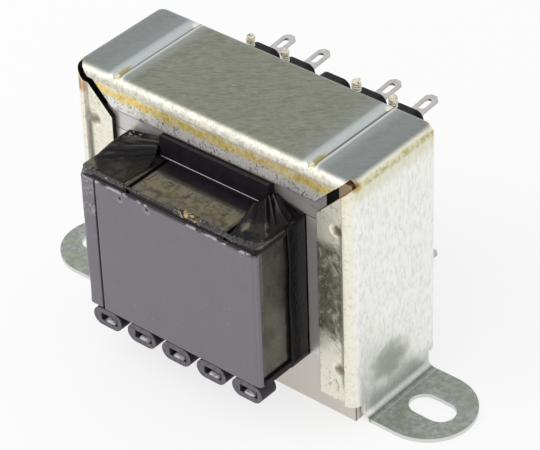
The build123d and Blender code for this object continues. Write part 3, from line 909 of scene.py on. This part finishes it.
# The stage and the pieces
class TRANSFORMER_OT_stage(bpy.types.Operator):
    """Makes the floor, the lights and the camera"""

    bl_idname = "transformer.stage"
    bl_label = "Stage"

    def execute(self, context):
        scene = context.scene
        scene.view_settings.view_transform = "Standard"
        studio = scene.transformer_studio
        self.make_floor(studio)
        self.make_world(scene, studio)
        self.make_light("key_light", (-0.36, -0.42, 0.44), 0.42, studio.key_power)
        self.make_light("side_light", (0.62, -0.1, 0.3), 0.5, studio.fill_power)
        self.make_camera(scene)
        return {"FINISHED"}

    def make_floor(self, studio):
        """A pale floor that glows where it is seen directly, so that it stays near white."""
        shader = Shader("pale_floor")
        color = shader.mix(shader.noise(0.02, 2) * 0.1, studio.floor_color, (236, 236, 236))
        matt = shader.add("ShaderNodeBsdfDiffuse", {"Color": color})
        glow = shader.add("ShaderNodeEmission", {"Color": WHITE, "Strength": 1.0})
        material = shader.close(
            shader.add("ShaderNodeMixShader", {0: shader.seen_directly() * 0.75, 1: matt, 2: glow})
        )
        half = 1500
        corners = [(-half, -half, 0), (half, -half, 0), (half, half, 0), (-half, half, 0)]
        mesh_piece("floor", corners, [(0, 1, 2, 3)], material, False)

    def make_world(self, scene, studio):
        """White surroundings, dimmer as a light than as they are seen."""
        scene.world = bpy.data.worlds.new("studio")
        scene.world.use_nodes = True
        nodes = Nodes(scene.world.node_tree)
        dim, bright = (
            nodes.add("ShaderNodeBackground", {"Color": WHITE, "Strength": strength})
            for strength in (studio.world_strength, 1.0)
        )
        mixed = nodes.add("ShaderNodeMixShader", {0: nodes.seen_directly(), 1: dim, 2: bright})
        nodes.add("ShaderNodeOutputWorld", {"Surface": mixed})

    def make_light(self, name, place, size, power):
        lamp = bpy.data.lights.new(name, "AREA")
        lamp.shape = "SQUARE"
        lamp.size = size
        lamp.energy = power
        light = add_object(name, lamp)
        light.location = place
        aim = Vector((0, 0, 0.03)) - light.location
        light.rotation_euler = aim.to_track_quat("-Z", "Y").to_euler()

    def make_camera(self, scene):
        wanted = scene.transformer_camera
        level = Vector((math.cos(wanted.turn), math.sin(wanted.turn), 0))
        forward = Vector((-math.sin(wanted.turn), math.cos(wanted.turn), 0))
        ahead = forward * math.cos(wanted.tilt) - Vector((0, 0, math.sin(wanted.tilt)))
        right = math.cos(wanted.roll) * level + math.sin(wanted.roll) * level.cross(ahead)
        lens = bpy.data.cameras.new("camera")
        lens.sensor_width = 36
        lens.lens = wanted.lens
        lens.clip_start = 0.01
        camera = add_object("camera", lens)
        turned = Matrix((right, right.cross(ahead), -ahead)).transposed()
        spot = Vector(wanted.target) - ahead * wanted.distance
        camera.matrix_world = Matrix.Translation(spot) @ turned.to_4x4()
        scene.camera = camera


class TRANSFORMER_OT_clamp(bpy.types.Operator):
    """Gives the folded clamp its zinc finish"""

    bl_idname = "transformer.clamp"
    bl_label = "Clamp"

    def execute(self, context):
        coat(zinc_finish(context.scene.transformer_clamp), "clamp_frame")
        return {"FINISHED"}


class TRANSFORMER_OT_core(bpy.types.Operator):
    """Lays the E and I laminations sheet by sheet"""

    bl_idname = "transformer.core"
    bl_label = "Core laminations"

    def execute(self, context):
        settings = context.scene.transformer_core
        material = core_finish(settings)
        tree = sheet_stack_tree()
        half = CORE_HALF_WIDTH
        leg = YOKE
        split = CORE_TOP - YOKE
        yoke_top = CORE_BOTTOM + YOKE
        e_up = [(-half, CORE_BOTTOM), (half, CORE_BOTTOM), (half, split), (half - leg, split)]
        e_up += [(half - leg, yoke_top), (leg, yoke_top), (leg, split), (-leg, split)]
        e_up += [(-leg, yoke_top), (leg - half, yoke_top), (leg - half, split), (-half, split)]
        i_top = [(-half, split), (half, split), (half, CORE_TOP), (-half, CORE_TOP)]
        layout = (
            ("core_e_legs_up", e_up, False, 0, 25),
            ("core_i_top", i_top, False, 0, 25),
            ("core_e_legs_down", e_up, True, 1, 20),
            ("core_i_bottom", i_top, True, 1, 20),
        )
        for seed, (node, outline, turned, first, count) in enumerate(layout):
            if turned:
                outline = [(x, CORE_TOP + CORE_BOTTOM - z) for x, z in reversed(outline)]
            piece = self.one_sheet(node, outline, settings, material)
            tree.apply(
                piece,
                Sheets=count,
                Bundle=settings.bundle_sheets,
                First=first,
                Start=-STACK_HALF * MM,
                Pitch=settings.pitch,
                Jitter=settings.jitter,
                Seed=seed,
            )
            hand_over(piece, "core_steel", node)
        return {"FINISHED"}

    def one_sheet(self, node, outline, settings, material):
        """A single lamination standing on its edge, its front face at Y 0."""
        back = (settings.pitch - settings.gap) / MM
        count = len(outline)
        points = [(x, y, z) for y in (0, back) for x, z in outline]
        faces = [tuple(range(count)), tuple(reversed(range(count, 2 * count)))]
        for index in range(count):
            following = (index + 1) % count
            faces.append((index, index + count, following + count, following))
        return mesh_piece(node + "_sheets", points, faces, material, False)


class TRANSFORMER_OT_bobbin(bpy.types.Operator):
    """Gives the bobbin its black finish, pale pieces that paint the light reflected on the pocket floors, and
    plain pocket numbers
    """

    bl_idname = "transformer.bobbin"
    bl_label = "Bobbin"

    def execute(self, context):
        material = plastic_finish(context.scene.transformer_coil)
        coat(material, "bobbin_top", "bobbin_bottom", "bobbin_tube")
        for number in POCKETS:
            x = ROW_OFFSET + (number - MIDDLE_POCKET) * NUMBER_PITCH
            self.raised_number(str(number), (x, -19.6, CHEEK_TOP - 0.05), material)
        pale = tongue_finish()
        for number in POCKETS:
            self.pocket_tongue(number, pale)
        return {"FINISHED"}

    def raised_number(self, text, place, material):
        curve = bpy.data.curves.new("number_" + text, "FONT")
        curve.body = text
        curve.size = 3.4 * MM
        curve.extrude = 0.09 * MM
        curve.bevel_depth = 0.04 * MM
        curve.align_x = "CENTER"
        curve.align_y = "CENTER"
        curve.resolution_u = 4
        piece = curve_piece("pocket_number_" + text, curve, material)
        piece.data.transform(Matrix.Translation(Vector(place) * MM))
        hand_over(piece, "bobbin_plastic")

    def pocket_tongue(self, number, material):
        """A pale sheet in the mouth of a front pocket, with rounded ends and a rounded front, that paints the
        light reflected on its floor.
        """
        left = ROW_OFFSET + (number - MIDDLE_POCKET) * POCKET_PITCH - 1.1
        profile = ((0.06, 0.0), (0.06, 0.7), (0.12, 0.92), (0.3, 1.1), (0.7, 1.18), (2.2, 1.18))

        def place(share, step):
            depth, height = step
            swell = (1 - abs(2 * share - 1) ** 4) ** 0.5
            z = POCKET_FLOOR + 0.02 + height * (0.25 + 0.75 * swell)
            return left + REFLECTION_WIDTH * share, -COIL_Y + depth + 0.4 * (1 - swell), z

        piece = grid_piece("pocket_tongue_" + str(number), shares(13), profile, place, material)
        hand_over(thicken(piece, 0.2, -1.0), "bobbin_plastic")


class TRANSFORMER_OT_windings(bpy.types.Operator):
    """Gives the windings and the paper between them their finishes"""

    bl_idname = "transformer.windings"
    bl_label = "Windings"

    def execute(self, context):
        coat(copper_finish(), "primary_winding", "secondary_winding")
        coat(paper_finish(), "interwinding_paper")
        return {"FINISHED"}


def coil_path(inset, corner, start, end, step=0.5):
    """Along the coil's rounded outline: points, outward directions and distances from the front's left."""
    half_x = COIL_X - inset
    half_y = COIL_Y - inset
    along_x = 2 * (half_x - corner)
    along_y = 2 * (half_y - corner)
    arc = math.pi / 2 * corner
    total = 2 * (along_x + along_y) + 4 * arc
    runs = (
        (0, along_x, (corner - half_x, -half_y)),
        (90, along_y, (half_x, corner - half_y)),
        (180, along_x, (half_x - corner, half_y)),
        (270, along_y, (-half_x, half_y - corner)),
    )

    def at(distance):
        left = distance % total
        for heading, length, begin in runs:
            angle = math.radians(heading)
            ahead = Vector((math.cos(angle), math.sin(angle)))
            out = Vector((math.sin(angle), -math.cos(angle)))
            if left <= length:
                return Vector(begin) + ahead * left, out, distance
            left -= length
            if left <= arc:
                turn = left / corner
                spin = out * math.cos(turn) + ahead * math.sin(turn)
                return Vector(begin) + ahead * length + (spin - out) * corner, spin, distance
            left -= arc
        return Vector(runs[0][2]), Vector((0, -1)), distance

    count = max(2, round((end - start) / step)) + 1
    return [at(start + (end - start) * share) for share in shares(count)], total


def wound_sheet(name, material, edges, thickness, inset, corner, start, end, ripple=0.05, closed=False):
    """A sheet that follows the coil's outline, with a slightly uneven surface, riding on the body."""
    path = coil_path(inset, corner, start, end)[0]

    def place(sample, share):
        spot, out, distance = sample
        low, high = edges(spot, distance)
        z = low + (high - low) * share
        spot = spot + out * ripple * waver(spot.x * 0.16 + 3, spot.y * 0.16 + 7, z * 0.11 + inset)
        return spot.x, max(spot.y, -COIL_Y), z

    piece = grid_piece(name, path[:-1] if closed else path, shares(44), place, material, closed)
    hand_over(thicken(piece, thickness, -1.0, 0.12), "wrap_sheet", "outer_wrap")


class TRANSFORMER_OT_wrap(bpy.types.Operator):
    """Wraps the coil: the tape all round it, the sheet over its front and the strip at the seam"""

    bl_idname = "transformer.wrap"
    bl_label = "Coil wrap"

    def execute(self, context):
        settings = context.scene.transformer_coil
        thickness = settings.sheet_thickness / MM
        low = wrap_low.z
        high = wrap_high.z
        corner = 1.0
        front = 2 * (COIL_X - corner)
        seam = SEAM_X + COIL_X - corner

        def tape_edges(spot, distance):
            return low + 1.45, high

        def sheet_edges(spot, distance):
            return low + 0.05, high + 0.05 * waver(spot.x * 0.6, spot.y, 1.7)

        def strip_edges(spot, distance):
            """The strip's lower corner is cut off at a slant."""
            return low + 0.3 + max(0.0, STRIP_CUT - distance) * 0.9, high - 0.1

        total = coil_path(thickness, TAPE_CORNER, 0, 1)[1]
        wound_sheet(
            "coil_tape", tape_finish(settings), tape_edges, thickness=0.25, inset=thickness + 0.02,
            corner=TAPE_CORNER, start=0, end=total, ripple=0.03, closed=True,
        )
        sheet = sheet_finish(settings)
        wound_sheet(
            "front_sheet", sheet, sheet_edges, thickness=thickness - 0.08, inset=0.04,
            corner=corner, start=seam, end=front + 1.4,
        )
        wound_sheet(
            "seam_strip", sheet, strip_edges, thickness=thickness, inset=-0.25,
            corner=1.6, start=-4.2, end=seam - 0.75, ripple=0.3,
        )
        return {"FINISHED"}


# Each film's edges as points from one end to the other, and the heights of its folds by share
FILM_FOLDS = {
    "left": {
        "inner": ((-12.2, -11.6, 46.4), (-12.3, -13.5, 45.5), (-11.4, -15.4, 44.8), (-10.9, -17.5, 44.1)),
        "outer": (
            (-20.9, -12.0, 45.4), (-21.7, -16.5, 44.6), (-21.5, -21.4, 44.0), (-18.4, -24.1, 43.95),
            (-11.4, -24.3, 43.9),
        ),
        "ridges": (
            (0.0, 0.5), (0.08, 0.1), (0.17, 1.0), (0.23, 0.05), (0.33, 0.9), (0.4, 0.0), (0.47, 0.6),
            (0.54, 0.0), (0.62, 0.25), (0.7, 0.0), (1.0, 0.0),
        ),
    },
    "right": {
        "inner": ((13.9, -16.6, 45.9), (14.6, -14.6, 46.0), (15.2, -12.8, 46.2), (15.6, -11.6, 46.0)),
        "outer": (
            (14.9, -24.5, 43.9), (20.9, -23.8, 43.95), (21.7, -20.6, 44.0), (21.6, -16.0, 44.0),
            (19.6, -11.6, 44.1),
        ),
        "ridges": (
            (0.0, 0.2), (0.1, 0.5), (0.2, 0.0), (0.36, 0.1), (0.42, 0.75), (0.48, 0.05), (0.57, 0.9),
            (0.62, 0.0), (0.72, 1.0), (0.77, 0.1), (0.87, 0.7), (0.93, 0.0), (1.0, 0.4),
        ),
    },
}


def along_points(points, share):
    """The point at a share of the way along a row of points."""
    steps = share * (len(points) - 1)
    index = min(int(steps), len(points) - 2)
    return Vector(points[index]).lerp(Vector(points[index + 1]), steps - index)


def fold_height(ridges, across):
    """The height of a fold between two of its named crests and creases."""
    for (start, low), (end, high) in zip(ridges, ridges[1:]):
        if across <= end:
            return low + (high - low) * (across - start) / (end - start)
    return ridges[-1][1]


class TRANSFORMER_OT_films(bpy.types.Operator):
    """Folds the dark insulation film at both ends of the front barrier"""

    bl_idname = "transformer.films"
    bl_label = "Corner films"

    def execute(self, context):
        material = film_finish(context.scene.transformer_coil)
        for side, name in ((-1, "left"), (1, "right")):
            self.folded_film(name, material)
            self.window_liner(name, side, material)
            self.ledge(name, side, material)
        return {"FINISHED"}

    def folded_film(self, name, material):
        """Film gathered at the end of the barrier, falling to the cheek's corner in a few uneven folds."""
        folds = FILM_FOLDS[name]
        heights = []

        def place(across, along):
            wander = 0.012 * waver(across * 9, 3.0, 1.0)
            height = fold_height(folds["ridges"], min(1.0, max(0.0, across + wander)))
            heights.append(height * (1 - along) ** 0.4 if along > 0.04 else 0.5)
            inner = along_points(folds["inner"], across)
            outer = along_points(folds["outer"], across)
            spot = inner.lerp(outer, along)
            spread = math.sin(math.pi * min(1.0, 0.12 + 0.88 * along)) ** 0.6 * (1 - 0.45 * along)
            crumple = max(0.12 * waver(across * 18, along * 5, 2.0), -0.02)
            spot.z = outer.z + (inner.z - outer.z) * (1 - along) ** 1.5
            spot.z += height * spread + crumple * (1 - along)
            return spot

        piece = grid_piece("folded_film_" + name, shares(130), shares(22), place, material)
        fold = piece.data.attributes.new("fold", "FLOAT", "POINT")
        fold.data.foreach_set("value", heights)
        hand_over(thicken(piece, FILM_THICKNESS), "corner_film", "corner_film_" + name)

    def window_liner(self, name, side, material):
        """The strip of film between the coil's side and the core's outer leg."""

        def place(across, share):
            z = CHEEK_BOTTOM - 0.1 + (CHEEK_TOP - CHEEK_BOTTOM + 0.3) * share
            y = -STACK_HALF - 0.05 - 5.3 * across - 0.3 * across * waver(z * 0.1, side, 2)
            return side * (COIL_X + 0.03), y, z

        piece = grid_piece("window_liner_" + name, shares(9), shares(40), place, material)
        hand_over(thicken(piece, FILM_THICKNESS), "corner_film")

    def ledge(self, name, side, material):
        """The film's flat fold on the cheek, between the barrier's end and the coil's side."""
        inner = BARRIER_ENDS[name] + side * 0.15
        outer = side * (COIL_X + 0.1)

        def place(across, along):
            x = inner + (outer - inner) * across
            y = -STACK_HALF - 0.15 - (1.2 + 2.4 * across) * along
            return x, y, CHEEK_TOP + 1.9 - 1.6 * across - 0.6 * along + 0.12 * waver(x * 0.4, y, 4)

        piece = grid_piece("film_ledge_" + name, shares(14), shares(8), place, material)
        hand_over(thicken(piece, 0.1), "corner_film")


class TRANSFORMER_OT_tags(bpy.types.Operator):
    """Gives the solder tags their tinned finish"""

    bl_idname = "transformer.tags"
    bl_label = "Solder tags"

    def execute(self, context):
        tags = [f"{row}_tag_{number}" for row in ("upper", "lower") for number in TAGGED_POCKETS]
        coat(tin_finish(context.scene.transformer_leads), *tags)
        return {"FINISHED"}


class TRANSFORMER_OT_leads(bpy.types.Operator):
    """Winds and solders the winding ends on the posts of the tags"""

    bl_idname = "transformer.leads"
    bl_label = "Leads"

    def execute(self, context):
        settings = context.scene.transformer_leads
        material = lead_finish(settings)
        tree = wound_lead_tree()
        for row_seed, row in ((0, "upper"), (10, "lower")):
            upper = row == "upper"
            for number in TAGGED_POCKETS:
                node = f"{row}_lead_{number}"
                seed = row_seed + number
                low, high = box_mm(node)
                base = high.z - TURNS_HEIGHT if upper else low.z
                start = Vector(((low.x + high.x) / 2, low.y + (high.y - low.y) * 0.42, base))
                piece = mesh_piece(node + "_turns", [start], [], material)
                tree.apply(
                    piece,
                    Turns=settings.turns,
                    Radius=TURNS_RADIUS * MM - settings.wire / 2,
                    Height=TURNS_HEIGHT * MM,
                    Wire=settings.wire / 2,
                    Seed=seed,
                )
                shade(piece.data)
                hand_over(piece, "lead_wire", node)
                self.solder(node, start, upper, material, seed)
                self.riser(node, low, high, upper, settings, material)
        return {"FINISHED"}

    def solder(self, node, start, upper, material, seed):
        """A lump of solder and flux over the turns."""
        mesh = bpy.data.meshes.new(node + "_solder")
        lump = bmesh.new()
        bmesh.ops.create_icosphere(lump, subdivisions=3, radius=1.0)
        centre = start + Vector((0, 0, TURNS_HEIGHT * (0.72 if upper else 0.28)))
        for vertex in lump.verts:
            bulge = 1 + 0.3 * noise.noise(vertex.co * 1.6 + Vector((seed, 0, 0)))
            shape = Vector((vertex.co.x * 0.82, vertex.co.y * 0.95, vertex.co.z * 1.05)) * bulge
            vertex.co = (centre + shape) * MM
        lump.to_mesh(mesh)
        lump.free()
        shade(mesh)
        hand_over(add_object(node + "_solder", mesh, material), "lead_wire")

    def riser(self, node, low, high, upper, settings, material):
        """The wire that comes up beside the pocket from the winding."""
        curve = bpy.data.curves.new(node + "_riser", "CURVE")
        curve.dimensions = "3D"
        curve.bevel_depth = settings.wire / 2
        curve.bevel_resolution = 3
        curve.use_fill_caps = True
        spline = curve.splines.new("NURBS")
        x = (low.x + high.x) / 2
        y = high.y - 0.25
        inner, outer = (low.z, high.z) if upper else (high.z, low.z)
        stops = ((0.0, 0.0, 0.0), (0.1, -0.05, 0.3), (-0.1, -0.1, 0.6), (0.1, -0.35, 0.85))
        spline.points.add(len(stops) - 1)
        for point, (aside, forward, share) in zip(spline.points, stops):
            spot = Vector((x + aside, y + forward, inner + (outer - inner) * share))
            point.co = (*(spot * MM), 1)
        spline.order_u = 3
        spline.use_endpoint_u = True
        hand_over(curve_piece(node + "_riser", curve, material), "lead_wire")


class TRANSFORMER_OT_varnish(bpy.types.Operator):
    """Adds the lumps and beads of dried varnish round the coil's front cheek"""

    bl_idname = "transformer.varnish"
    bl_label = "Varnish"

    def execute(self, context):
        settings = context.scene.transformer_varnish
        material = varnish_finish(settings)
        tree = lump_tree()
        # Each path in X, Y behind the coil's front and Z above the cheek; how many lumps; how far they stray
        places = (
            ("middle_lump", ((2.2, 0.5, 0.0), (5.5, 0.9, 0.1), (9.4, 0.5, 0.0)), 260, 0.6),
            ("right_beads", ((9.0, 0.5, 0.0), (12.5, 0.5, 0.0), (15.6, 0.5, 0.0)), 190, 0.32),
            ("right_lump", ((15.5, 0.5, 0.0), (20.9, 1.4, -0.2), (21.3, 4.5, -0.3)), 300, 0.5),
            ("left_lump", ((-21.3, 4.0, -0.6), (-20.9, 1.1, -0.8), (-18.6, 0.5, 0.0)), 320, 0.7),
            ("left_beads", ((-18.6, 0.5, 0.0), (-14.5, 0.5, 0.0), (-11.0, 0.5, 0.0)), 240, 0.3),
            ("edge_run", ((-11.0, 0.5, 0.0), (0.0, 0.5, 0.0), (21.0, 0.5, 0.0)), 420, 0.18),
        )
        for seed, (name, path, count, spread) in enumerate(places):
            points = [(x, -COIL_Y + behind, CHEEK_TOP + above) for x, behind, above in path]
            piece = mesh_piece("varnish_" + name, points, [], material, edges=[(0, 1), (1, 2)])
            grain = settings.grain * (0.6 if spread > 0.2 else 0.35)
            tree.apply(piece, Count=count, Spread=spread * MM, Grain=grain, Seed=seed)
            remesh = piece.modifiers.new("merge", "REMESH")
            remesh.mode = "VOXEL"
            remesh.voxel_size = 0.09 * MM
            remesh.use_smooth_shade = True
            bake_modifiers(piece)
            self.press(piece)
            piece.data.materials.clear()
            piece.data.materials.append(material)
            hand_over(piece, "wrap_sheet")
        return {"FINISHED"}

    def press(self, piece):
        """Flattens what would stand out in front of the coil's wrap."""
        for vertex in piece.data.vertices:
            proud = -COIL_Y + LUMP_PRESS - vertex.co.y / MM
            if proud > 0:
                vertex.co.y = (-COIL_Y + LUMP_PRESS * math.exp(-proud / LUMP_PRESS)) * MM


class TRANSFORMER_PT_panel(bpy.types.Panel):
    """Lists the transformer's pieces and their settings"""

    bl_label = "Transformer"
    bl_idname = "TRANSFORMER_PT_panel"
    bl_space_type = "VIEW_3D"
    bl_region_type = "UI"
    bl_category = "Transformer"

    def draw(self, context):
        layout = self.layout
        for operator in OPERATORS:
            layout.operator(operator.bl_idname)
        for name in SETTINGS:
            group = getattr(context.scene, name)
            box = layout.box()
            for key in group.bl_rna.properties.keys():
                if key not in ("rna_type", "name"):
                    box.prop(group, key)


SETTINGS = {
    "transformer_camera": TransformerCamera,
    "transformer_studio": TransformerStudio,
    "transformer_clamp": TransformerClamp,
    "transformer_core": TransformerCore,
    "transformer_coil": TransformerCoil,
    "transformer_leads": TransformerLeads,
    "transformer_varnish": TransformerVarnish,
}
OPERATORS = (
    TRANSFORMER_OT_stage,
    TRANSFORMER_OT_clamp,
    TRANSFORMER_OT_core,
    TRANSFORMER_OT_bobbin,
    TRANSFORMER_OT_windings,
    TRANSFORMER_OT_wrap,
    TRANSFORMER_OT_films,
    TRANSFORMER_OT_tags,
    TRANSFORMER_OT_leads,
    TRANSFORMER_OT_varnish,
)


def register():
    for name, group in SETTINGS.items():
        bpy.utils.register_class(group)
        setattr(bpy.types.Scene, name, PointerProperty(type=group))
    for operator in OPERATORS:
        bpy.utils.register_class(operator)
    bpy.utils.register_class(TRANSFORMER_PT_panel)


def unregister():
    bpy.utils.unregister_class(TRANSFORMER_PT_panel)
    for operator in reversed(OPERATORS):
        bpy.utils.unregister_class(operator)
    for name, group in reversed(SETTINGS.items()):
        delattr(bpy.types.Scene, name)
        bpy.utils.unregister_class(group)


def main():
    register()
    bpy.ops.transformer.stage()
    bpy.ops.transformer.clamp()
    bpy.ops.transformer.core()
    bpy.ops.transformer.bobbin()
    bpy.ops.transformer.windings()
    bpy.ops.transformer.wrap()
    bpy.ops.transformer.films()
    bpy.ops.transformer.tags()
    bpy.ops.transformer.leads()
    bpy.ops.transformer.varnish()


if __name__ == "__main__":
    main()
